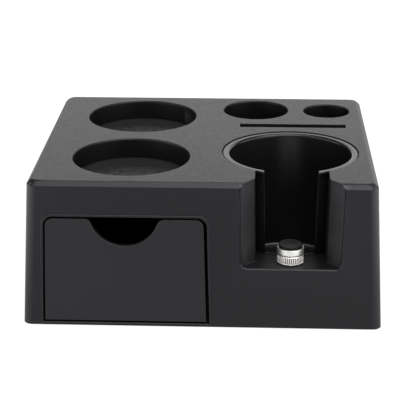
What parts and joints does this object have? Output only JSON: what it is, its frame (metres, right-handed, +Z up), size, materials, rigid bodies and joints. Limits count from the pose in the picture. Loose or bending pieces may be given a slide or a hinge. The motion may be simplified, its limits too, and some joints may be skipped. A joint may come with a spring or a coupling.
{
  "type": "espresso accessory station",
  "caption": "Low black box for espresso tools: tamper recesses, brush wells, a screen slot, a portafilter well with a height-adjustable rest, and a drawer with a thumb notch.",
  "frame": {"origin": "on the table, under the centre of the housing", "axes": "+X to the right seen from the front, +Y to the back, +Z up; the drawer and the portafilter notch open towards -Y"},
  "size_m": [0.19, 0.1716, 0.08],
  "materials": {
    "housing_plastic": "finely textured matte black",
    "drawer_plastic": "finely textured matte black",
    "base_plastic": "matte black",
    "liner_plastic": "smooth satin black",
    "mat_silicone": "soft matte black silicone",
    "foot_silicone": "soft matte black silicone",
    "washer_rubber": "matte black",
    "pad_plastic": "polished black",
    "knob_steel": "polished nickel",
    "stud_steel": "zinc plated",
    "screw_steel": "zinc plated",
    "insert_brass": "machined"
  },
  "bodies": {
    "housing": {"housing": "housing_plastic", "base_plate": "base_plastic", "base_screws": "screw_steel", "foot_front_left": "foot_silicone", "foot_front_right": "foot_silicone", "foot_rear_left": "foot_silicone", "foot_rear_right": "foot_silicone", "threaded_insert": "insert_brass", "lock_washer": "washer_rubber"},
    "drawer": {"drawer": "drawer_plastic"},
    "front_mat": {"front_mat": "mat_silicone"},
    "rear_mat": {"rear_mat": "mat_silicone"},
    "portafilter_liner": {"portafilter_liner": "liner_plastic"},
    "lock_nut": {"lock_nut": "knob_steel"},
    "support_pad": {"support_pad": "pad_plastic"},
    "support_screw": {"support_stud": "stud_steel", "support_collar": "knob_steel", "stop_ring": "stud_steel"}
  },
  "joints": [
    {"name": "drawer_slide", "type": "slide", "parent": "housing", "child": "drawer", "axis": [0, -1, 0], "range_m": [0, 0.115]},
    {"name": "liner_lift", "type": "slide", "parent": "housing", "child": "portafilter_liner", "axis": [0, 0, 1], "range_m": [0, 0.08]},
    {"name": "front_mat_lift", "type": "slide", "parent": "housing", "child": "front_mat", "axis": [0, 0, 1], "range_m": [0, 0.03]},
    {"name": "rear_mat_lift", "type": "slide", "parent": "housing", "child": "rear_mat", "axis": [0, 0, 1], "range_m": [0, 0.03]},
    {"name": "lock_nut_turn", "type": "hinge", "parent": "housing", "child": "lock_nut", "pos_m": [0.0465, -0.0734, 0.0345], "axis": [0, 0, 1], "range_deg": [0, 30]},
    {"name": "support_rise", "type": "slide", "parent": "housing", "child": "support_pad", "axis": [0, 0, 1], "range_m": [0, 0.0121]},
    {"name": "support_turn", "type": "hinge", "parent": "support_pad", "child": "support_screw", "pos_m": [0.0465, -0.0734, 0.0394], "axis": [0, 0, 1], "range_deg": [0, 4320]}
  ],
  "couplings": [
    {"joint": "support_rise", "follows": "support_turn", "m_per_rad": 0.00015915}
  ]
}
